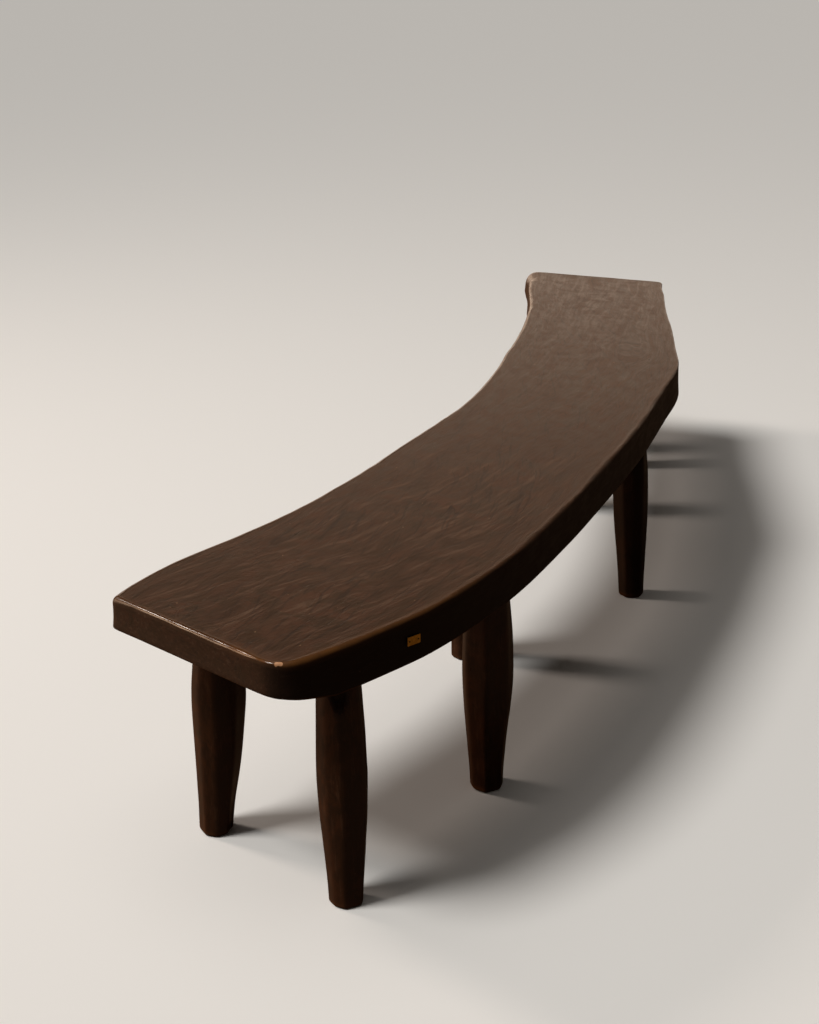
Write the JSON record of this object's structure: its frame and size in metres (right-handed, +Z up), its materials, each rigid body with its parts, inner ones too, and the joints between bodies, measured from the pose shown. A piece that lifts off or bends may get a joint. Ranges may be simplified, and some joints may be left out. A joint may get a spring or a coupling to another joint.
{
  "type": "curved bench",
  "caption": "Long dark wooden bench: a thick slab seat, bowed in plan, on carved peg legs that alternate from side to side.",
  "frame": {"origin": "on the floor, under the middle of the bench's bounding box", "axes": "+X runs along the bench, from the end with the wide haunch and the small plate to the other; -Y is the convex side; +Z is up"},
  "size_m": [2.285, 0.568, 0.44],
  "materials": {
    "seat_wood": "espresso-stained hardwood, satin, rubbed brown along the edges",
    "leg_wood": "dark-stained hardwood, satin, softly faceted by hand carving",
    "wedge_wood": "unfinished hardwood, hidden in the joint",
    "brass": "satin brass, aged"
  },
  "bodies": {
    "root": {"seat_slab": "seat_wood", "leg_outer_1": "leg_wood", "leg_outer_2": "leg_wood", "leg_outer_3": "leg_wood", "leg_outer_4": "leg_wood", "leg_inner_1": "leg_wood", "leg_inner_2": "leg_wood", "leg_inner_3": "leg_wood", "leg_inner_4": "leg_wood", "wedge_outer_1": "wedge_wood", "wedge_outer_2": "wedge_wood", "wedge_outer_3": "wedge_wood", "wedge_outer_4": "wedge_wood", "wedge_inner_1": "wedge_wood", "wedge_inner_2": "wedge_wood", "wedge_inner_3": "wedge_wood", "wedge_inner_4": "wedge_wood", "blank_plate": "brass", "plate_pin_near": "brass", "plate_pin_far": "brass"}
  },
  "joints": []
}
